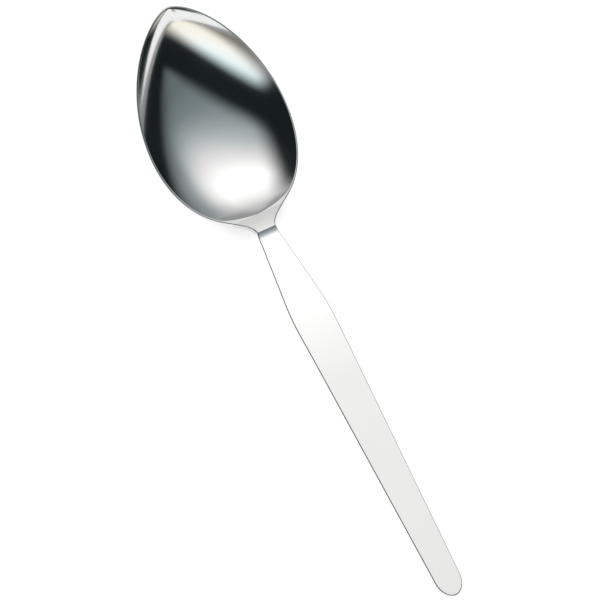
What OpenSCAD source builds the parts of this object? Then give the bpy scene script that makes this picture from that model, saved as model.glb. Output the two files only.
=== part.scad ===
// Dessert spoon formed from one sheet-metal blank: pointed dished bowl, cranked neck and tapering handle.
// The blank is described flat, by the distance s from the bowl tip, the offset y from the centreline
// and the height n above the rim surface.
// It is then bent along a side profile that is made of three arcs and a straight line.
// X runs from the bowl tip to the handle end, Z is up, and the spoon lies at rest on the plane Z = 0.
// All sizes are in millimetres and all angles in degrees.

/* [Bowl] */
// Distance from the tip at which the egg-shaped bowl outline would close
bowl_length = 62.7; // [58:0.1:68]
// Greatest width of the bowl across the rim
bowl_width = 40.4; // [36:0.1:45]
// Greatest depth of the hollow below the rim
bowl_depth = 7.4; // [6.4:0.1:8.8]
// Roundness exponent of the outline at the tip, where a lower value is blunter
tip_power = 0.65; // [0.58:0.01:0.74]
// Roundness exponent of the outline at the heel, where a lower value is blunter
heel_power = 0.48; // [0.44:0.01:0.56]
// Distance from the outer edge of the rim in to the hollow
rim_land = 0.5; // [0.5:0.05:0.8]
// Thickness of the rim at its outer edge
rim_thickness = 1.2; // [1:0.05:1.6]
// Distance between the end of the hollow and the point where the outline would close
heel_land = 1.5; // [1.2:0.1:2.4]

/* [Neck] */
// Narrowest width of the neck
neck_width = 5.8; // [4.8:0.1:7]
// Distance from the point where the bowl outline would close to the narrowest part of the neck
flank_length = 3.6; // [3:0.1:5]
// Angle between the heel of the rim and the front of the handle
crank_angle = 6.6; // [4:0.1:9]
// Length of the bend that joins the rim to the handle line
crank_length = 5; // [4:0.5:12]
// How far the bend runs past the narrowest part of the neck
crank_past = 1.6; // [0.6:0.1:2.8]
// Further angle through which the rim sweeps up towards the tip
sweep_angle = 32.1; // [26:0.1:36]
// Height of the step across the neck, which leads down from the heel to the handle
step_height = 0.6; // [0.3:0.05:0.8]
// Length over which that step runs out into the handle
step_length = 2.2; // [1.6:0.1:3]

/* [Handle] */
// Length of the handle from the narrowest part of the neck to its rounded end
handle_length = 113; // [95:0.1:130]
// Width of the handle at its shoulders
shoulder_width = 11.5; // [9.5:0.1:13]
// Distance of the shoulders from the narrowest part of the neck
shoulder_at = 26.1; // [20:0.1:34]
// Width of the handle just before its rounded end
end_width = 7.2; // [6.6:0.1:9]
// Length of the rounded end
end_round = 5.2; // [4.6:0.1:6.2]
// Thickness of the handle
handle_thickness = 2.6; // [2:0.1:3.2]
// Radius on the long edges of the handle
edge_radius = 0.8; // [0.5:0.05:0.95]
// Angle through which the front of the handle bends down to the neck
arch_angle = 6.1; // [3:0.1:8]
// Length of the bent front of the handle
arch_length = 45; // [42:1:60]

/* [Detail] */
// Sections along the bowl
bowl_sections = 44; // [30:2:56]
// Sections along the heel of the bowl in front of the step
neck_sections = 7; // [5:1:9]
// Points across half of the hollow
hollow_points = 9; // [7:1:11]
// Points around each rounded edge
edge_points = 4; // [3:1:5]

/* [Hidden] */
steel = [0.78, 0.78, 0.77];
// Length of the neck beyond its narrowest part
neck_run = 3;
// Distance before the end of the hollow at which the concave flank leaves the bowl outline
flank_lead = 2.1;
// Distance before the end of the hollow at which the rim edge starts to grow into the handle edge
edge_lead = 17;
// Distance before the narrowest part of the neck at which the step starts
step_lead = 0.3;
// Half-width over which the shoulders are blended
shoulder_soft = 0.6;
// Stations along the blank
hollow_end = bowl_length - heel_land;
flank_s = hollow_end - flank_lead;
neck_s = bowl_length + flank_length;
handle_s = neck_s + neck_run;
shoulder_s = neck_s + shoulder_at;
end_s = neck_s + handle_length;
crank_end = neck_s + crank_past;
crank_start = crank_end - crank_length;
arch_end = crank_end + arch_length;
step_s = neck_s - step_lead;
step_end = step_s + step_length;
// Slope of the rim at its heel, and radii of the three arcs of the side profile
heel_slope = crank_angle - arch_angle;
arch_radius = -arch_length / arch_angle * 180 / PI;
crank_radius = crank_length / crank_angle * 180 / PI;
rim_radius = crank_start / sweep_angle * 180 / PI;
// Length over which the hollow rounds off to its blunt end, and exponent of that rounding
blunt_run = 4;
blunt_power = 4;
// Exponents of the depth of the hollow towards its tip and its heel
dish_tip_power = 0.95;
dish_heel_power = 0.95;
// Exponents, extra depth, extra length and blend of the bulge below the hollow
bulge_tip_power = 1;
bulge_heel_power = 1;
bulge_extra = 0.4;
bulge_run = 2.2;
bulge_depth = bowl_depth + bulge_extra;
bulge_end = hollow_end + bulge_run;
bulge_soft = 1.6;
// Radius of the rim edge, and the slope at which the outer wall meets that edge
rim_radius_edge = 0.35;
wall_angle = 45;
// How far the sections fan out from the tip and from the ends of the hollow and of the handle
fan_tip = 13;
fan_heel = 8;
fan_end = 2.4;
fan_end_power = 12;
// Step of the search for the point on which the bowl rests, and of the slope at the ends of the flank
rest_step = 0.5;
flank_step = 0.1;
// Lengths around the shoulders and before the rounded end that have closer sections
shoulder_zone = 6;
end_zone = end_round + 1;

function mix(a, b, t) = a + (b - a) * t;
// Equal steps from a to b, without a itself
function spread(a, b, n) = [for (k = [1 : n]) mix(a, b, k / n)];
// Smooth step from 0 at a to 1 at b
function ease(x, a, b) =
    let (t = min(1, max(0, (x - a) / (b - a))))
    t * t * (3 - 2 * t);
// Larger and smaller of two values, blended where they differ by less than k
function blend_max(a, b, k) =
    let (h = max(k - abs(a - b), 0) / k)
    max(a, b) + h * h * k / 4;
function blend_min(a, b, k) = -blend_max(-a, -b, k);
// Hump that rises from 0 at t = 0 to 1 and falls to 0 at t = 1, or runs on below 0 where q is 1
function hump(t, p, q) =
    let (m = p / (p + q), fall = (1 - t) / (1 - m))
    pow(max(t, 0) / m, p) * (q == 1 ? fall : pow(max(fall, 0), q));

// Half-width of the bowl outline drawn in by d
function egg(s, d) = (bowl_width / 2 - d) * hump((s - d) / (bowl_length - 2 * d), tip_power, heel_power);
// Half-width of the handle drawn in by d, with straight flanks that meet in blended shoulders
function strip(s, d) =
    let (
        rise = (shoulder_width - neck_width) / 2 / shoulder_at,
        fall = (shoulder_width - end_width) / 2 / (end_s - shoulder_s),
        widening = neck_width / 2 + rise * (s - neck_s),
        narrowing = shoulder_width / 2 - fall * (s - shoulder_s),
        e = max(0, s - end_s + end_round) / (end_round - d)
    )
    (blend_min(widening, narrowing, shoulder_soft) - d) * sqrt(max(0, 1 - e * e));
// Half-width of the whole blank drawn in by d, with a concave flank between bowl and neck
function half_width(s, d) = s <= flank_s ? egg(s, d) : s >= neck_s ? strip(s, d) : flank(s, d);
function flank(s, d) =
    let (
        w = neck_s - flank_s,
        t = (s - flank_s) / w,
        a = egg(flank_s, d),
        b = strip(neck_s, d),
        slope_a = (a - egg(flank_s - flank_step, d)) / flank_step * w,
        slope_b = (strip(neck_s + flank_step, d) - b) / flank_step * w
    )
    mix(a, b, t * t * (3 - 2 * t)) + t * (1 - t) * (slope_a * (1 - t) - slope_b * t);

// Half-width, depth and surface of the hollow
function hollow_t(s) = (s - rim_land) / (hollow_end - rim_land);
function hollow_half(s) =
    let (e = max(0, s - hollow_end + blunt_run) / blunt_run)
    egg(s, rim_land) * sqrt(max(0, 1 - pow(e, blunt_power)));
function hollow_depth(s) = bowl_depth * hump(hollow_t(s), dish_tip_power, dish_heel_power);
function hollow_n(s, y) =
    let (w = hollow_half(s))
    w <= 0 ? 0 : -hollow_depth(s) * max(0, 1 - y * y / (w * w));

// Edge radius, edge thickness and the angle to which the lower edge is rounded
function to_handle(s) = ease(s, hollow_end - edge_lead, handle_s);
function edge_r(s) = mix(rim_radius_edge, edge_radius, to_handle(s));
function edge_t(s) = mix(rim_thickness, handle_thickness, to_handle(s));
function lower_angle(s) = mix(90 - wall_angle, 90, to_handle(s));
// Inset and height at which the rounded lower edge ends and the underside starts
function lower_inset(s) = edge_r(s) * (1 - cos(lower_angle(s)));
function lower_n(s) = -edge_t(s) + edge_r(s) * (1 - sin(lower_angle(s)));
// Bulge of the underside below the lower edge
function bulge(s) =
    let (depth = bulge_depth * hump(s / bulge_end, bulge_tip_power, bulge_heel_power))
    blend_max(0, depth, bulge_soft);
function under_n(s, y) =
    let (w = half_width(s, lower_inset(s)))
    lower_n(s) - (w <= 0 ? 0 : bulge(s) * max(0, 1 - y * y / (w * w)));

// Side profile: slope, and position of the rim surface with the back of the handle lying along X
function slope(s) =
    s >= arch_end ? 0 :
    s >= crank_end ? -arch_angle * (arch_end - s) / arch_length :
    s >= crank_start ? -arch_angle + crank_angle * (crank_end - s) / crank_length :
    heel_slope + sweep_angle * (crank_start - s) / crank_start;
// Run and rise of an arc of radius r that leads towards the tip from slope a to slope b
function arc(r, a, b) = r * [sin(a) - sin(b), cos(a) - cos(b)];
arch_at = arc(arch_radius, 0, -arch_angle);
crank_at = arch_at + arc(crank_radius, -arch_angle, heel_slope);
function profile(s) =
    s >= arch_end ? [s - arch_end, 0] :
    s >= crank_end ? arc(arch_radius, 0, slope(s)) :
    s >= crank_start ? arch_at + arc(crank_radius, -arch_angle, slope(s)) :
    crank_at + arc(rim_radius, heel_slope, slope(s));
// Drop of the step, steepest where it starts at the heel
function drop(s) =
    let (u = min(1, max(0, (s - step_s) / step_length)))
    step_height * (1 - (1 - u) * (1 - u));
function formed(p) =
    let (a = slope(p[0]), o = profile(p[0]), n = p[2] - drop(p[0]))
    [o[0] + n * sin(a), p[1], o[1] + n * cos(a)];

// Rest position: the bowl and the handle end touch the table together
end_pt = formed([end_s - edge_radius, 0, -handle_thickness]);
rest_tilt = min([for (s = [0 : rest_step : hollow_end])
    let (p = formed([s, 0, under_n(s, 0)]))
    atan2(p[2] - end_pt[2], end_pt[0] - p[0])]);
function rested(q) = [
    q[0] * cos(rest_tilt) - q[2] * sin(rest_tilt),
    q[1],
    q[0] * sin(rest_tilt) + q[2] * cos(rest_tilt)
];
// Ends and lowest point of the resting spoon, which is centred over the origin
tip_x = min([for (p = edge_half(0, 0, true, false, 0, hollow_end)) rested(formed(p))[0]]);
end_x = max([for (p = edge_half(end_s, 1, false, true, handle_s, end_s)) rested(formed(p))[0]]);
table_z = rested(end_pt)[2];
function placed(p) = rested(formed(p)) - [(tip_x + end_x) / 2, 0, table_z];

// Half of a section from the top centreline around the edge to the bottom centreline.
// Each ring of points has its own inset d and runs from station a to station b as v goes from 0 to 1.
function ring_s(d, v, from_tip, to_end, a, b) = mix(from_tip ? a + d : a, to_end ? b - d : b, v);
function edge_half(s0, v, from_tip, to_end, a, b) =
    let (
        r = edge_r(s0),
        t = edge_t(s0),
        e = lower_angle(s0),
        last = edge_points - 1,
        upper = [for (i = [0 : last]) [r * (1 - sin(90 * i / last)), -r * (1 - cos(90 * i / last))]],
        lower = [for (i = [0 : last]) [r * (1 - cos(e * i / last)), -t + r * (1 - sin(e * i / last))]]
    )
    [for (p = concat(upper, lower))
        let (s = ring_s(p[0], v, from_tip, to_end, a, b))
        [s, half_width(s, p[0]), p[1]]];
function under_half(low, spine) =
    [for (j = [hollow_points - 1 : -1 : 0])
        let (q = j / hollow_points, s = mix(spine, low[0], q * q), y = low[1] * q)
        [s, y, under_n(s, y)]];
function hollow_half_ring(rim, spine) =
    [for (j = [0 : hollow_points])
        let (q = j / hollow_points, s = mix(spine, rim[0], q * q), y = rim[1] * q)
        [s, y, j == hollow_points ? 0 : hollow_n(s, y)]];
// Mirrored copy that closes a half-section into a ring
function ring(h) = concat(h, [for (i = [len(h) - 2 : -1 : 1]) [h[i][0], -h[i][1], h[i][2]]]);

function bowl_half(v) =
    let (
        edge = edge_half(hollow_end * v, v, true, false, 0, hollow_end),
        low = edge[len(edge) - 1],
        rim_s = mix(rim_land, hollow_end, v),
        lead = fan_tip * (1 - v) * (1 - v)
    )
    concat(
        hollow_half_ring([rim_s, hollow_half(rim_s)], rim_s + lead - fan_heel * v * v),
        edge,
        under_half(low, low[0] + lead)
    );
function neck_half(s) =
    let (edge = edge_half(s, 0, false, false, s, s))
    concat([[s, 0, 0]], edge, under_half(edge[len(edge) - 1], s));
function handle_half(s) =
    let (
        v = (s - handle_s) / (end_s - handle_s),
        edge = edge_half(s, v, false, true, handle_s, end_s),
        low = edge[len(edge) - 1],
        back = fan_end * pow(v, fan_end_power)
    )
    concat(
        [[edge[0][0] - back, 0, 0]],
        edge,
        [for (q = [0.5, 0]) [low[0] - back * (1 - q * q), low[1] * q, -handle_thickness]]
    );

// Closed shell over a list of rings.
// A seam at the first or last ring joins the two mirrored halves point by point.
module shell(halves, seam_first, seam_last) {
    h = len(halves[0]);
    r = 2 * h - 2;
    last = len(halves) - 1;
    function id(k, j) =
        let (i = j % r, seam = k == 0 ? seam_first : k == last ? seam_last : 0)
        k * r + (i >= h && r - i < seam ? r - i : i);
    // End face as a fan of triangles from the top centreline
    function cap(k, seam) =
        let (
            from = max(0, seam - 1),
            to = r - max(1, seam - 1) - (seam > 0 ? 1 : 0)
        )
        [for (j = [from + 1 : to - 1]) [id(k, from), id(k, j), id(k, j + 1)]];
    pts = [for (half = halves) for (p = ring(half)) placed(p)];
    // The diagonal of each quad changes side from quarter to quarter, so that both halves mirror each other
    function turned(k, j) = (floor(2 * j / (h - 1)) % 2 == 1) != (2 * k >= last);
    sides = [for (k = [0 : last - 1]) for (j = [0 : r - 1]) for (f = turned(k, j) ?
        [[id(k, j), id(k, j + 1), id(k + 1, j)], [id(k, j + 1), id(k + 1, j + 1), id(k + 1, j)]] :
        [[id(k, j), id(k + 1, j + 1), id(k + 1, j)], [id(k, j), id(k, j + 1), id(k + 1, j + 1)]]) f];
    first_cap = seam_first < h ? [for (f = cap(0, seam_first)) [f[2], f[1], f[0]]] : [];
    last_cap = seam_last < h ? cap(last, seam_last) : [];
    polyhedron(points = pts, faces = concat(sides, first_cap, last_cap), convexity = 6);
}

// Dished bowl from the tip to the end of the hollow
module bowl() {
    halves = [for (k = [0 : bowl_sections]) bowl_half((1 - cos(180 * k / bowl_sections)) / 2)];
    color(steel)
        shell(halves, len(halves[0]), hollow_points + 1);
}

// Heel of the bowl, step, bend and narrowest part
module neck() {
    stations = concat(
        [hollow_end],
        spread(hollow_end, step_s, neck_sections),
        spread(step_s, step_end, neck_sections - 1),
        spread(step_end, handle_s, 3)
    );
    halves = [for (s = stations) neck_half(s)];
    color(steel)
        shell(halves, 0, 0);
}

// Flat handle with shoulders, straight taper and rounded end
module handle() {
    stations = concat(
        [handle_s],
        spread(handle_s, shoulder_s - shoulder_zone, 6),
        spread(shoulder_s - shoulder_zone, shoulder_s + shoulder_zone, 8),
        spread(shoulder_s + shoulder_zone, arch_end, 3),
        spread(arch_end, end_s - end_zone, 4),
        [for (k = [1 : 10]) mix(end_s - end_zone, end_s, sin(9 * k))]
    );
    halves = [for (s = stations) handle_half(s)];
    color(steel)
        shell(halves, 0, len(halves[0]));
}

bowl();
neck();
handle();
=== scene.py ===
"""Polished dessert spoon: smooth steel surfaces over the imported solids, on a roll of white paper."""

import math

import bpy
import numpy as np
from mathutils import Matrix, Vector


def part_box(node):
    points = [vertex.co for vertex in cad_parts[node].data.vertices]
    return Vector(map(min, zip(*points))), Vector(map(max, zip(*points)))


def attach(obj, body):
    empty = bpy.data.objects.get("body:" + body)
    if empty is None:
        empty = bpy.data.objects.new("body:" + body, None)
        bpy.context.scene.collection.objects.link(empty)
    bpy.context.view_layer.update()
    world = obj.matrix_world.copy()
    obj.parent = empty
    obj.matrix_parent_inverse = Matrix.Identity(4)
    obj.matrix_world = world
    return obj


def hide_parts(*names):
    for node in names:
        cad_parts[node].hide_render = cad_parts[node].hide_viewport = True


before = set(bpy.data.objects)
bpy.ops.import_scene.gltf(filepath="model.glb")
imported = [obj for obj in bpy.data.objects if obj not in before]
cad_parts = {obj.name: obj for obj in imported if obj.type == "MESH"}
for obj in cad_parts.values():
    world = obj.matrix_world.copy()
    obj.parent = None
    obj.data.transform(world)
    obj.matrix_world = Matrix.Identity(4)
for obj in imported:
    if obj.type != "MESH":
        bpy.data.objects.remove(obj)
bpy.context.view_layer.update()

# Sizes of the spoon in millimetres and degrees: those of the solids, but with a sharper EDGE_RADIUS.
# s is the distance from the bowl tip along the blank, y the offset from the centreline
# and n the height above the rim.
BOWL_LENGTH = 62.7
BOWL_WIDTH = 40.4
BOWL_DEPTH = 7.4
TIP_POWER = 0.65
HEEL_POWER = 0.48
RIM_LAND = 0.5
RIM_THICKNESS = 1.2
HEEL_LAND = 1.5
NECK_WIDTH = 5.8
FLANK_LENGTH = 3.6
CRANK_ANGLE = 6.6
CRANK_LENGTH = 5.0
CRANK_PAST = 1.6
RIM_SWEEP = 32.1
STEP_HEIGHT = 0.6
STEP_LENGTH = 2.2
STEP_LEAD = 0.3
HANDLE_LENGTH = 113.0
SHOULDER_WIDTH = 11.5
SHOULDER_AT = 26.1
SHOULDER_SOFT = 0.6
END_WIDTH = 7.2
END_ROUND = 5.2
HANDLE_THICKNESS = 2.6
EDGE_RADIUS = 0.45
ARCH_ANGLE = 6.1
ARCH_LENGTH = 45.0
NECK_RUN = 3.0
FLANK_LEAD = 2.1
EDGE_LEAD = 17.0
BLUNT_RUN = 4.0
BLUNT_POWER = 4
DISH_TIP = 0.95
DISH_HEEL = 0.95
BULGE_TIP = 1.0
BULGE_HEEL = 1.0
BULGE_EXTRA = 0.4
BULGE_PAST = 2.2
BULGE_DEPTH = BOWL_DEPTH + BULGE_EXTRA
BULGE_SOFT = 1.6
RIM_RADIUS = 0.35
WALL_SLOPE = 45.0
FAN_TIP = 13.0
FAN_HEEL = 8.0
FAN_END = 2.4
FAN_END_POWER = 12

# Stations along the blank
HOLLOW_END = BOWL_LENGTH - HEEL_LAND
BULGE_END = HOLLOW_END + BULGE_PAST
FLANK_S = HOLLOW_END - FLANK_LEAD
NECK_S = BOWL_LENGTH + FLANK_LENGTH
HANDLE_S = NECK_S + NECK_RUN
SHOULDER_S = NECK_S + SHOULDER_AT
END_S = NECK_S + HANDLE_LENGTH
CRANK_END = NECK_S + CRANK_PAST
CRANK_START = CRANK_END - CRANK_LENGTH
ARCH_END = CRANK_END + ARCH_LENGTH
STEP_S = NECK_S - STEP_LEAD
HEEL_SLOPE = CRANK_ANGLE - ARCH_ANGLE

# Density of the visible meshes
BOWL_SECTIONS = 170
HOLLOW_POINTS = 44
EDGE_POINTS = 9
UNDER_POINTS = 30
LAND_AT = (0.0, 0.1, 0.3, 0.65)
CREASE_POWER = 1.5
NECK_SPANS = (24, 3, 24, 12)
HANDLE_SPANS = (48, 10, 30, 40)
STEP_CLOSE = 0.05
SHOULDER_PAST = 10
ROUND_LEAD = 1
KEEL_STEP = 0.5
END_SAMPLES = 9

# Metres in a millimetre, the distance at which points are welded, and the least width and length to divide by
MM = 0.001
WELD = 0.0005
LEAST_WIDTH = 1e-9
LEAST_LENGTH = 1e-12


def ease(x, a, b):
    t = np.clip((x - a) / (b - a), 0, 1)
    return t * t * (3 - 2 * t)


def blend_max(a, b, k):
    h = np.clip(k - np.abs(a - b), 0, None) / k
    return np.maximum(a, b) + h * h * k / 4


def hump(t, p, q):
    """Rises from 0 at t = 0 to 1 and falls to 0 at t = 1, or runs on below 0 where q is 1."""
    m = p / (p + q)
    fall = (1 - t) / (1 - m)
    return (np.clip(t, 0, None) / m) ** p * (fall if q == 1 else np.clip(fall, 0, None) ** q)


def egg(s, d):
    """Half-width of the bowl outline drawn in by d."""
    return (BOWL_WIDTH / 2 - d) * hump((s - d) / (BOWL_LENGTH - 2 * d), TIP_POWER, HEEL_POWER)


def strip(s, d):
    """Half-width of the handle drawn in by d."""
    rise = (SHOULDER_WIDTH - NECK_WIDTH) / 2 / SHOULDER_AT
    fall = (SHOULDER_WIDTH - END_WIDTH) / 2 / (END_S - SHOULDER_S)
    widening = NECK_WIDTH / 2 + rise * (s - NECK_S)
    narrowing = SHOULDER_WIDTH / 2 - fall * (s - SHOULDER_S)
    half = -blend_max(-widening, -narrowing, SHOULDER_SOFT)
    e = np.clip(s - END_S + END_ROUND, 0, None) / (END_ROUND - d)
    return (half - d) * np.sqrt(np.clip(1 - e * e, 0, None))


def half_width(s, d):
    """Half-width of the whole blank drawn in by d, with a concave flank between bowl and neck."""
    step = 0.1
    w = NECK_S - FLANK_S
    t = (s - FLANK_S) / w
    a, b = egg(FLANK_S, d), strip(NECK_S, d)
    slope_a = (a - egg(FLANK_S - step, d)) / step * w
    slope_b = (strip(NECK_S + step, d) - b) / step * w
    flank = a + (b - a) * t * t * (3 - 2 * t) + t * (1 - t) * (slope_a * (1 - t) - slope_b * t)
    return np.where(s <= FLANK_S, egg(s, d), np.where(s >= NECK_S, strip(s, d), flank))


def hollow_t(s):
    return (s - RIM_LAND) / (HOLLOW_END - RIM_LAND)


def hollow_half(s):
    """Half-width of the hollow, which follows the outline and rounds off to a blunt end."""
    e = np.clip(s - HOLLOW_END + BLUNT_RUN, 0, None) / BLUNT_RUN
    return egg(s, RIM_LAND) * np.sqrt(np.clip(1 - e ** BLUNT_POWER, 0, None))


def hollow_n(s, y):
    w = np.maximum(hollow_half(s), LEAST_WIDTH)
    depth = BOWL_DEPTH * hump(hollow_t(s), DISH_TIP, DISH_HEEL)
    return -depth * np.clip(1 - y * y / (w * w), 0, None)


def land_n(s, y):
    return 0 * s


def to_handle(s):
    return ease(s, HOLLOW_END - EDGE_LEAD, HANDLE_S)


def edge_r(s):
    return RIM_RADIUS + (EDGE_RADIUS - RIM_RADIUS) * to_handle(s)


def edge_t(s):
    return RIM_THICKNESS + (HANDLE_THICKNESS - RIM_THICKNESS) * to_handle(s)


def lower_angle(s):
    return np.radians(90 - WALL_SLOPE * (1 - to_handle(s)))


def lower_inset(s):
    return edge_r(s) * (1 - np.cos(lower_angle(s)))


def under_n(s, y):
    """Underside: the lower edge, and the bulge of the bowl below it."""
    w = np.maximum(half_width(s, lower_inset(s)), LEAST_WIDTH)
    low = -edge_t(s) + edge_r(s) * (1 - np.sin(lower_angle(s)))
    bulge = blend_max(0 * s, BULGE_DEPTH * hump(s / BULGE_END, BULGE_TIP, BULGE_HEEL), BULGE_SOFT)
    return low - bulge * np.clip(1 - y * y / (w * w), 0, None)


def slope(s):
    """Slope of the side profile in degrees."""
    rim = HEEL_SLOPE + RIM_SWEEP * (CRANK_START - s) / CRANK_START
    crank = -ARCH_ANGLE + CRANK_ANGLE * (CRANK_END - s) / CRANK_LENGTH
    arch = -ARCH_ANGLE * (ARCH_END - s) / ARCH_LENGTH
    bent = np.where(s >= CRANK_END, arch, np.where(s >= CRANK_START, crank, rim))
    return np.where(s >= ARCH_END, 0, bent)


def arc(length, turn, a, b):
    """Run and rise of an arc that turns by the angle turn over its length, from slope a to slope b."""
    r = length / math.radians(turn)
    a, b = np.radians(a), np.radians(b)
    return np.stack([r * (np.sin(a) - np.sin(b)), r * (np.cos(a) - np.cos(b))], -1)


def formed(s, y, n):
    """Bends a point of the blank along the side profile, with the back of the handle along X."""
    a = slope(s)
    straight = np.stack([s - ARCH_END, 0 * s], -1)
    arch = arc(ARCH_LENGTH, -ARCH_ANGLE, 0, a)
    arch_at = arc(ARCH_LENGTH, -ARCH_ANGLE, 0, -ARCH_ANGLE)
    crank = arch_at + arc(CRANK_LENGTH, CRANK_ANGLE, -ARCH_ANGLE, a)
    crank_at = arch_at + arc(CRANK_LENGTH, CRANK_ANGLE, -ARCH_ANGLE, HEEL_SLOPE)
    rim = crank_at + arc(CRANK_START, RIM_SWEEP, HEEL_SLOPE, a)
    at = np.asarray(s)[..., None]
    bent = np.where(at >= CRANK_END, arch, np.where(at >= CRANK_START, crank, rim))
    o = np.where(at >= ARCH_END, straight, bent)
    u = np.clip((s - STEP_S) / STEP_LENGTH, 0, 1)
    n = n - STEP_HEIGHT * (1 - (1 - u) ** 2)
    a = np.radians(a)
    return np.stack([o[..., 0] + n * np.sin(a), y + 0 * s, o[..., 1] + n * np.cos(a)], -1)


def rested(p, tilt):
    c, t = math.cos(tilt), math.sin(tilt)
    return np.stack([p[..., 0] * c - p[..., 2] * t, p[..., 1], p[..., 0] * t + p[..., 2] * c], -1)


# Rest position: the bowl and the handle end touch the table together,
# and the frame's box gives the place along X
end_pt = formed(np.array(END_S - EDGE_RADIUS), np.array(0.0), np.array(-HANDLE_THICKNESS))
keel_s = np.arange(0, HOLLOW_END, KEEL_STEP)
keel = formed(keel_s, 0 * keel_s, under_n(keel_s, 0 * keel_s))
tilt = np.arctan2(keel[:, 2] - end_pt[2], end_pt[0] - keel[:, 0]).min()
table = rested(end_pt, tilt)[2]
end_n = np.linspace(-HANDLE_THICKNESS + EDGE_RADIUS, -EDGE_RADIUS, END_SAMPLES)
end_x = rested(formed(END_S + 0 * end_n, 0 * end_n, end_n), tilt)[:, 0].max()
shift = np.array([end_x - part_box("handle")[1][0] / MM, 0, table])


def placed(s, y, n):
    return rested(formed(np.asarray(s, float), np.asarray(y, float), np.asarray(n, float)), tilt) - shift


def surface_normal(fn, s, y):
    """Upward normal of the surface n = fn(s, y)."""
    d = 0.01
    along = placed(s + d, y, fn(s + d, y)) - placed(s - d, y, fn(s - d, y))
    across = placed(s, y + d, fn(s, y + d)) - placed(s, y - d, fn(s, y - d))
    n = np.cross(along, across)
    return n / np.linalg.norm(n, axis=-1, keepdims=True)


# Half-sections, as points (s, y, n) with the upward normal where the surface has one, else zeros


def with_normal(points, fn, sign):
    s, y = points[:, 0], points[:, 1]
    return np.hstack([points, sign * surface_normal(fn, s, y)])


def bare(points):
    return np.hstack([points, np.zeros_like(points)])


def edge_part(s0, v, a, b, from_tip, to_end):
    """Rounded upper and lower edge; each ring of points has its own inset and its own run from a to b."""
    r, t, e = edge_r(s0), edge_t(s0), lower_angle(s0)
    up = np.linspace(0, math.pi / 2, EDGE_POINTS)
    low = np.linspace(0, 1, EDGE_POINTS) * e
    d = np.concatenate([r * (1 - np.sin(up)), r * (1 - np.cos(low))])
    n = np.concatenate([-r * (1 - np.cos(up)), -t + r * (1 - np.sin(low))])
    first = a + d if from_tip else a + 0 * d
    last = b - d if to_end else b + 0 * d
    s = first + (last - first) * v
    return np.stack([s, half_width(s, d), n], -1)


def land_part(inner, outer):
    """Flat strip between two points of the same section, without the outer point."""
    f = np.array(LAND_AT)[:, None]
    p = inner + (outer - inner) * f
    p[:, 2] = 0
    return p


def under_part(low, spine):
    q = 1 - np.arange(1, UNDER_POINTS + 1) / UNDER_POINTS
    s = spine + (low[0] - spine) * q * q
    y = low[1] * q
    return with_normal(np.stack([s, y, under_n(s, y)], -1), under_n, -1)


def bowl_half(v):
    edge = edge_part(HOLLOW_END * v, v, 0.0, HOLLOW_END, True, False)
    rim_s = RIM_LAND + (HOLLOW_END - RIM_LAND) * v
    lead = FAN_TIP * (1 - v) ** 2
    spine = rim_s + lead - FAN_HEEL * v * v
    q = 1 - (1 - np.arange(HOLLOW_POINTS) / HOLLOW_POINTS) ** CREASE_POWER
    s = spine + (rim_s - spine) * q * q
    y = hollow_half(rim_s) * q
    hollow = with_normal(np.stack([s, y, hollow_n(s, y)], -1), hollow_n, 1)
    land = land_part(np.array([rim_s, hollow_half(rim_s), 0]), edge[0])
    land = np.vstack([bare(land[:1]), with_normal(land[1:], land_n, 1)])
    return np.vstack([hollow, land, bare(edge), under_part(edge[-1], edge[-1][0] + lead)])


def shaft_half(s, v, to_end, back):
    """Half-section of the neck, or of the handle with its rounded end."""
    edge = edge_part(s, v, HANDLE_S if to_end else s, END_S, False, to_end)
    land = land_part(np.array([edge[0][0] - back, 0, 0]), edge[0])
    return np.vstack([with_normal(land, land_n, 1), bare(edge), under_part(edge[-1], edge[-1][0] - back)])


def spread(a, b, n):
    return list(a + (b - a) * np.arange(1, n + 1) / n)


def stations(ends, spans):
    """Stations from the first of the ends to the last, with a number of equal spans between each two."""
    found = [ends[0]]
    for a, b, n in zip(ends, ends[1:], spans):
        found += spread(a, b, n)
    return found


bowl_v = (1 - np.cos(math.pi * np.arange(BOWL_SECTIONS + 1) / BOWL_SECTIONS)) / 2
neck_ends = [HOLLOW_END, STEP_S - STEP_CLOSE, STEP_S + STEP_CLOSE, STEP_S + STEP_LENGTH, HANDLE_S]
neck_s = stations(neck_ends, NECK_SPANS)
round_s = END_S - END_ROUND - ROUND_LEAD
*flat_spans, round_spans = HANDLE_SPANS
round_at = [math.sin(math.pi / 2 * k / round_spans) for k in range(1, round_spans + 1)]
handle_s = stations([HANDLE_S, SHOULDER_S + SHOULDER_PAST, ARCH_END, round_s], flat_spans)
handle_s += [round_s + (END_S - round_s) * at for at in round_at]


def handle_half(s):
    v = (s - HANDLE_S) / (END_S - HANDLE_S)
    return shaft_half(s, v, True, FAN_END * v ** FAN_END_POWER)


halves = {
    "bowl": [bowl_half(v) for v in bowl_v],
    "neck": [shaft_half(s, 0.0, False, 0.0) for s in neck_s],
    "handle": [handle_half(s) for s in handle_s],
}


def key_of(p):
    """Name of a place, the same for points that meet there."""
    return tuple(np.round(p / WELD).astype(int))


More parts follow.
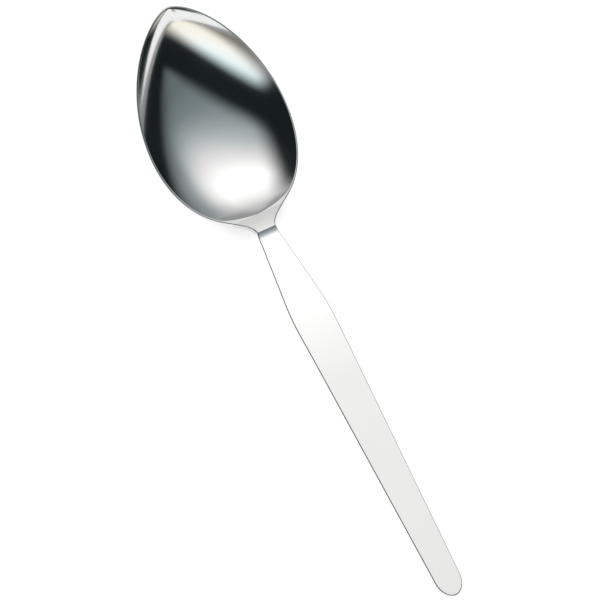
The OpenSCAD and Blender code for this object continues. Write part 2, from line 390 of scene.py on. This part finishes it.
def skin(half_list, top, cap_first, cap_last):
    """Welded points, set normals, side faces and end caps of one piece.

    top is the first point of an end's outline.
    """
    grid = []
    for half in half_list:
        mirror = half[-2:0:-1] * np.array([1, -1, 1, 1, -1, 1])
        ring = np.vstack([half, mirror])
        grid.append(np.hstack([placed(ring[:, 0], ring[:, 1], ring[:, 2]), ring[:, 3:]]))
    grid = np.array(grid)
    rows, cols = grid.shape[:2]
    known, points, normals = {}, [], []
    index = np.zeros((rows, cols), int)
    for k in range(rows):
        for j in range(cols):
            key = key_of(grid[k, j, :3])
            if key not in known:
                known[key] = len(points)
                points.append(grid[k, j, :3])
                normals.append(grid[k, j, 3:])
            index[k, j] = known[key]
    faces = []
    for k in range(rows - 1):
        for j in range(cols):
            i = (j + 1) % cols
            ids = [int(a) for a in (index[k, j], index[k + 1, j], index[k + 1, i], index[k, i])]
            ids = [a for n, a in enumerate(ids) if a != ids[n - 1]]
            if len(ids) >= 3 and len(set(ids)) == len(ids):
                faces.append(ids)
    first = [int(a) for a in index[0, top:cols - top]]
    last = [int(a) for a in index[-1, top:cols - top]]
    caps = ([first] if cap_first else []) + ([last[::-1]] if cap_last else [])
    return np.array(points), np.array(normals), faces, caps


skins = {
    "bowl": skin(halves["bowl"], HOLLOW_POINTS, False, True),
    "neck": skin(halves["neck"], 0, True, True),
    "handle": skin(halves["handle"], 0, True, False),
}

# Normals are summed over all pieces together, so that no seam shows where two pieces meet
summed = {}
for points, _, faces, _ in skins.values():
    for face in faces:
        p = points[face]
        n = np.cross(p[2] - p[0], p[-1] - p[1])
        for a in p:
            key = key_of(a)
            summed[key] = summed.get(key, 0) + n


def unit(v):
    return v / max(np.linalg.norm(v), LEAST_LENGTH)


def add_piece(name, node, material):
    """Mesh object for one piece, with the normals of the formed surface."""
    points, normals, faces, caps = skins[node]
    sides = [unit(n) if n.any() else unit(summed[key_of(p)]) for p, n in zip(points, normals)]
    mesh = bpy.data.meshes.new(name)
    mesh.from_pydata((points * MM).tolist(), [], faces + caps)
    mesh.shade_smooth()
    corner = [sides[a].tolist() for face in faces for a in face]
    for cap in caps:
        p = points[cap]
        flat = unit(np.cross(p, np.roll(p, -1, axis=0)).sum(0))
        corner += [flat.tolist()] * len(cap)
    mesh.normals_split_custom_set(corner)
    mesh.materials.append(material)
    piece = bpy.data.objects.new(name, mesh)
    bpy.context.scene.collection.objects.link(piece)
    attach(piece, "root")
    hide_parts(node)
    return piece


# Steel

STEP_X = float(placed(STEP_S, 0, 0)[0]) * MM
STEP_BLUR = 0.0003
CLOUD_SCALE = 55.0
HAIRLINE_SCALE = (60.0, 2600.0, 2600.0)
SCRATCH_SCALE = (90.0, 3400.0, 900.0)
SCRATCH_TURN = (0.0, 0.0, 0.9)
SCRATCH_SHARE = (0.66, 0.78)
SCRATCH_ROUGHNESS = 0.06
SCRATCH_HEIGHT = -0.4
TONES_AT = (0.3, 0.7)
HAZE_AT = (0.35, 0.7)
GRAIN_HEIGHT = 0.00002


def node(tree, kind, **values):
    """New node with its properties, or its input sockets, set by name."""
    made = tree.nodes.new(kind)
    for key, value in values.items():
        if hasattr(made, key):
            setattr(made, key, value)
        else:
            made.inputs[key.replace("_", " ")].default_value = value
    return made


def steel(name, polish, haze, grain, tones, heel_shade):
    """Polished stainless steel: a clear gloss with faint haze, hairlines and finer grain along the spoon.

    tones are the two greys of the haze; the last argument scales them before the step at the neck, as painted
    shade on the flat there.
    """
    material = bpy.data.materials.new(name)
    material.use_nodes = True
    tree = material.node_tree
    link = tree.links.new
    shader = tree.nodes["Principled BSDF"]
    shader.inputs["Metallic"].default_value = 1.0
    place = node(tree, "ShaderNodeTexCoord").outputs["Object"]
    cloud = node(tree, "ShaderNodeTexNoise", Scale=CLOUD_SCALE, Detail=4.0, Roughness=0.6)
    link(place, cloud.inputs["Vector"])
    long = node(tree, "ShaderNodeMapping", Scale=HAIRLINE_SCALE)
    link(place, long.inputs["Vector"])
    lines = node(tree, "ShaderNodeTexNoise", Scale=1.0, Detail=5.0, Roughness=0.65)
    link(long.outputs["Vector"], lines.inputs["Vector"])
    turned = node(tree, "ShaderNodeMapping", Rotation=SCRATCH_TURN, Scale=SCRATCH_SCALE)
    link(place, turned.inputs["Vector"])
    scratch = node(tree, "ShaderNodeTexNoise", Scale=1.0, Detail=2.0, Roughness=0.5)
    link(turned.outputs["Vector"], scratch.inputs["Vector"])
    thin = node(tree, "ShaderNodeMapRange", From_Min=SCRATCH_SHARE[0], From_Max=SCRATCH_SHARE[1])
    link(scratch.outputs["Fac"], thin.inputs["Value"])
    tone = node(tree, "ShaderNodeValToRGB")
    for element, position, grey in zip(tone.color_ramp.elements, TONES_AT, tones):
        element.position = position
        element.color = (*grey, 1)
    link(cloud.outputs["Fac"], tone.inputs["Fac"])
    axes = node(tree, "ShaderNodeSeparateXYZ")
    link(place, axes.inputs["Vector"])
    # Painted shade: the base colour is scaled down before the step at the neck, darkening the flat there
    painted_shade_ramp = node(tree, "ShaderNodeMapRange", To_Min=heel_shade,
                 From_Min=STEP_X - STEP_BLUR, From_Max=STEP_X + STEP_BLUR)
    link(axes.outputs["X"], painted_shade_ramp.inputs["Value"])
    shaded = node(tree, "ShaderNodeVectorMath", operation="SCALE")
    link(tone.outputs["Color"], shaded.inputs[0])
    link(painted_shade_ramp.outputs["Result"], shaded.inputs["Scale"])
    link(shaded.outputs["Vector"], shader.inputs["Base Color"])
    hazy = node(tree, "ShaderNodeMapRange", From_Min=HAZE_AT[0], From_Max=HAZE_AT[1],
                To_Min=polish, To_Max=polish + haze)
    link(cloud.outputs["Fac"], hazy.inputs["Value"])
    rough = node(tree, "ShaderNodeMath", operation="MULTIPLY_ADD")
    link(thin.outputs["Result"], rough.inputs[0])
    rough.inputs[1].default_value = SCRATCH_ROUGHNESS
    link(hazy.outputs["Result"], rough.inputs[2])
    link(rough.outputs["Value"], shader.inputs["Roughness"])
    height = node(tree, "ShaderNodeMath", operation="MULTIPLY_ADD")
    link(thin.outputs["Result"], height.inputs[0])
    height.inputs[1].default_value = SCRATCH_HEIGHT
    link(lines.outputs["Fac"], height.inputs[2])
    bump = node(tree, "ShaderNodeBump", Strength=grain, Distance=GRAIN_HEIGHT)
    link(height.outputs["Value"], bump.inputs["Height"])
    link(bump.outputs["Normal"], shader.inputs["Normal"])
    return material


bowl_steel = steel("bowl_steel", polish=0.095, haze=0.03, grain=0.05,
                   tones=((0.80, 0.80, 0.79), (0.86, 0.86, 0.85)), heel_shade=1.0)
# The handle's greys, paler and warmer than the bowl's, are painted light; its last argument darkens the flat
# before the step as painted shade
handle_steel = steel("handle_steel", polish=0.11, haze=0.05, grain=0.12,
                     tones=((0.94, 0.935, 0.92), (0.97, 0.965, 0.95)), heel_shade=0.745)
add_piece("spoon_bowl", "bowl", bowl_steel)
add_piece("spoon_neck", "neck", handle_steel)
add_piece("spoon_handle", "handle", handle_steel)


# Nodes of the tree in work, which is first the floor's and then the world's

def calc(operation, *terms):
    """Math node over sockets and numbers."""
    made = tree.nodes.new("ShaderNodeMath")
    made.operation = operation
    for socket, term in zip(made.inputs, terms):
        if isinstance(term, (int, float)):
            socket.default_value = term
        else:
            link(term, socket)
    return made.outputs["Value"]


def soft(value, low, high):
    """Smooth step from 0 at low to 1 at high."""
    made = node(tree, "ShaderNodeMapRange", interpolation_type="SMOOTHSTEP", From_Min=low, From_Max=high)
    link(value, made.inputs["Value"])
    return made.outputs["Result"]


def ramp(value, stops):
    """Colour ramp over a socket, from (position, red, green, blue) stops."""
    made = tree.nodes.new("ShaderNodeValToRGB")
    elements = made.color_ramp.elements
    while len(elements) < len(stops):
        elements.new(1.0)
    for element, (position, *colour) in zip(elements, stops):
        element.position = position
        element.color = (*colour, 1)
    link(value, made.inputs["Fac"])
    return made.outputs["Color"]


# Floor: a roll of white paper along the spoon on a grey table, with a painted contact shadow under the bowl.
# Its tone is emitted alike to camera, glossy and transmission rays, and its matte part takes the real shadow.

FLOOR_HALF = 3.0
FLOOR_DROP = 0.00002
FLOOR_WHITE = 0.9
FLOOR_GREY = 0.4
ROLL_EDGE = (0.135, 0.118)
TABLE_LEVEL = 0.16
# Painted contact shadow under the bowl: an ellipse in which the floor's emitted tone is drawn down to nothing
SHADOW_AT = -0.052
SHADOW_REACH = (0.030, 0.017)
SHADOW_EDGE = (0.35, 1.0)
floor_mesh = bpy.data.meshes.new("floor")
corners = [(-1, -1), (1, -1), (1, 1), (-1, 1)]
floor_points = [(x * FLOOR_HALF, y * FLOOR_HALF, -FLOOR_DROP) for x, y in corners]
floor_mesh.from_pydata(floor_points, [], [(0, 1, 2, 3)])
floor = bpy.data.objects.new("floor", floor_mesh)
bpy.context.scene.collection.objects.link(floor)
paper = bpy.data.materials.new("floor_paper")
paper.use_nodes = True
tree = paper.node_tree
tree.nodes.clear()
link = tree.links.new
ray = node(tree, "ShaderNodeLightPath")
mirrored = calc("MAXIMUM", ray.outputs["Is Glossy Ray"], ray.outputs["Is Transmission Ray"])
seen = calc("MAXIMUM", ray.outputs["Is Camera Ray"], mirrored)
spot = node(tree, "ShaderNodeSeparateXYZ")
link(node(tree, "ShaderNodeTexCoord").outputs["Object"], spot.inputs["Vector"])
floor_x, floor_y = spot.outputs["X"], spot.outputs["Y"]
on_paper = soft(calc("ABSOLUTE", floor_y), *ROLL_EDGE)
tone = calc("ADD", TABLE_LEVEL, calc("MULTIPLY", on_paper, FLOOR_WHITE - TABLE_LEVEL))
# Painted shadow: the floor's emitted tone fades in from the centre of the ellipse outward
along = calc("DIVIDE", calc("SUBTRACT", floor_x, SHADOW_AT), SHADOW_REACH[0])
across = calc("DIVIDE", floor_y, SHADOW_REACH[1])
off = calc("SQRT", calc("ADD", calc("MULTIPLY", along, along), calc("MULTIPLY", across, across)))
outside_painted_shadow = soft(off, *SHADOW_EDGE)
strength = calc("MULTIPLY", seen, calc("MULTIPLY", tone, outside_painted_shadow))
white = node(tree, "ShaderNodeEmission", Color=(1, 1, 1, 1))
link(strength, white.inputs["Strength"])
matte = node(tree, "ShaderNodeBsdfDiffuse", Color=(FLOOR_GREY, FLOOR_GREY, FLOOR_GREY, 1))
both = node(tree, "ShaderNodeAddShader")
link(white.outputs["Emission"], both.inputs[0])
link(matte.outputs["BSDF"], both.inputs[1])
out = node(tree, "ShaderNodeOutputMaterial")
link(both.outputs["Shader"], out.inputs["Surface"])
floor_mesh.materials.append(paper)


# World: a soft panel overhead, a grey wall behind the bowl tip, a low bright strip, and dark elsewhere.
# tx and ty are a direction's offsets along X and Y on a plane one unit up.

world = bpy.data.worlds.new("studio")
bpy.context.scene.world = world
world.use_nodes = True
tree = world.node_tree
tree.nodes.clear()
link = tree.links.new
LOWEST = 0.02
DIM = (0.010, 0.0140, 0.0150, 1)
split = tree.nodes.new("ShaderNodeSeparateXYZ")
link(tree.nodes.new("ShaderNodeTexCoord").outputs["Generated"], split.inputs["Vector"])
dx, dy, dz = split.outputs
up = calc("MAXIMUM", dz, LOWEST)
tx, ty = calc("DIVIDE", dx, up), calc("DIVIDE", dy, up)

# Panel: a soft box overhead with straight edges and a bright core
PANEL_TOP = 1.4
PANEL_BASE = 0.326
PANEL_RISE = 0.144
RISE_SPAN = (-2.0, 1.0)
PANEL_CORE = 1.768
CORE_Y = 0.522
CORE_TURN = 0.559
CORE_ACROSS = (1.59, -0.06)
CORE_ALONG = (0.588, -1.5)
NEAR_TURN = 0.42
NEAR_EDGE = (-0.948, -0.434)
SIDE_TURN = 1.164
SIDE_EDGE = (-1.002, -0.402)
FAR_EDGE = (3.387, 0.987)
BACK_EDGE = (-1.708, -0.624)
BACK_LEVEL = 0.442
from_core = calc("SUBTRACT", calc("SUBTRACT", ty, CORE_Y), calc("MULTIPLY", tx, CORE_TURN))
off_core = calc("ABSOLUTE", from_core)
core = calc("MULTIPLY", soft(off_core, *CORE_ACROSS), soft(tx, *CORE_ALONG))
rise = calc("MULTIPLY", calc("MAXIMUM", calc("MINIMUM", tx, RISE_SPAN[1]), RISE_SPAN[0]), -PANEL_RISE)
level = calc("ADD", PANEL_BASE, calc("ADD", rise, calc("MULTIPLY", core, PANEL_CORE)))
level = calc("MINIMUM", PANEL_TOP, level)
near = soft(calc("ADD", ty, calc("MULTIPLY", tx, NEAR_TURN)), *NEAR_EDGE)
side = soft(calc("SUBTRACT", ty, calc("MULTIPLY", tx, SIDE_TURN)), *SIDE_EDGE)
far = soft(ty, *FAR_EDGE)
back = calc("ADD", BACK_LEVEL, calc("MULTIPLY", soft(tx, *BACK_EDGE), 1 - BACK_LEVEL))
inside = calc("MULTIPLY", near, calc("MULTIPLY", side, far))
panel = calc("MULTIPLY", calc("MULTIPLY", level, back), inside)

# Wall: a grey glow behind the bowl tip, which shows from other sides
WALL_LEVEL = 0.35
WALL_EDGE = (-0.62, -0.80)
panel = calc("MAXIMUM", panel, calc("MULTIPLY", soft(dx, *WALL_EDGE), WALL_LEVEL))

# Strip: a bright band between two planes, with a grey lower border
STRIP_LEVEL = 1.12
STRIP_GREY = 0.2
STRIP_TOP = (-0.343, 0.67, -0.77)
STRIP_FOOT = (0.563, -0.657, -0.08)
STRIP_END = (-74.5, -61.5)
TOP_SOFT = 0.19
FOOT_SOFT = 0.13


def over_plane(plane):
    """Height of the direction over a plane given by its offset and its slopes along X and Y."""
    return calc("SUBTRACT", calc("SUBTRACT", dz, calc("MULTIPLY", dx, plane[1])),
                calc("ADD", calc("MULTIPLY", dy, plane[2]), plane[0]))


bearing = calc("ARCTAN2", dy, dx)
end = soft(bearing, math.radians(STRIP_END[0]), math.radians(STRIP_END[1]))
over_foot = soft(over_plane(STRIP_FOOT), -FOOT_SOFT, FOOT_SOFT)
below_top = soft(over_plane(STRIP_TOP), TOP_SOFT, -TOP_SOFT)
bright = calc("ADD", STRIP_GREY, calc("MULTIPLY", over_foot, STRIP_LEVEL - STRIP_GREY))
strip_light = calc("MULTIPLY", calc("MULTIPLY", end, bright), below_top)

# Tints, by brightness of the panel and by height on the strip
PANEL_TINT = [(0.2, 0.78, 0.945, 1.0), (0.8, 1.0, 1.0, 1.0)]
STRIP_TINT = [(0.0, 1.0, 0.945, 0.81), (0.25, 1.0, 0.99, 0.945),
              (0.36, 0.94, 1.0, 1.0), (0.5, 0.80, 0.96, 1.0)]


def tinted(strength, colour):
    made = tree.nodes.new("ShaderNodeBackground")
    link(strength, made.inputs["Strength"])
    link(colour, made.inputs["Color"])
    return made.outputs["Background"]


def added(a, b):
    made = tree.nodes.new("ShaderNodeAddShader")
    link(a, made.inputs[0])
    link(b, made.inputs[1])
    return made.outputs["Shader"]


dim = node(tree, "ShaderNodeBackground", Color=DIM, Strength=1.0).outputs["Background"]
lights = added(tinted(panel, ramp(level, PANEL_TINT)), tinted(strip_light, ramp(dz, STRIP_TINT)))
studio = added(lights, dim)
link(studio, node(tree, "ShaderNodeOutputWorld").inputs["Surface"])


# Camera at the photograph's angle; the place of the origin and the scale are in pixels of the square frame

IMAGE_SIZE = 600
CAMERA_ELEVATION = 69.953
CAMERA_TURN = 34.885
CAMERA_ROLL = -8.914
CAMERA_DISTANCE = 2.0
PIXELS_PER_MM = 3.7356
ORIGIN_PIXEL = (307.57, 315.80)
SENSOR = 36.0
CLIP_END = 20.0

e, turn, roll = (math.radians(a) for a in (CAMERA_ELEVATION, CAMERA_TURN, CAMERA_ROLL))
toward = Vector((math.cos(turn) * math.cos(e), -math.sin(turn) * math.cos(e), math.sin(e)))
level_right = Vector((math.sin(turn), math.cos(turn), 0))
level_up = toward.cross(level_right)
right = level_right * math.cos(roll) - level_up * math.sin(roll)
upward = level_right * math.sin(roll) + level_up * math.cos(roll)
offset = [(p - IMAGE_SIZE / 2) / PIXELS_PER_MM * MM for p in ORIGIN_PIXEL]
target = right * -offset[0] + upward * offset[1]
camera_data = bpy.data.cameras.new("camera")
camera_data.sensor_width = SENSOR
camera_data.lens = SENSOR * CAMERA_DISTANCE / (IMAGE_SIZE / PIXELS_PER_MM * MM)
camera_data.clip_end = CLIP_END
camera = bpy.data.objects.new("camera", camera_data)
bpy.context.scene.collection.objects.link(camera)
turned_to = Matrix((right, upward, toward)).transposed().to_4x4()
camera.matrix_world = Matrix.Translation(target + toward * CAMERA_DISTANCE) @ turned_to
bpy.context.scene.camera = camera

bpy.context.scene.view_settings.view_transform = "Standard"
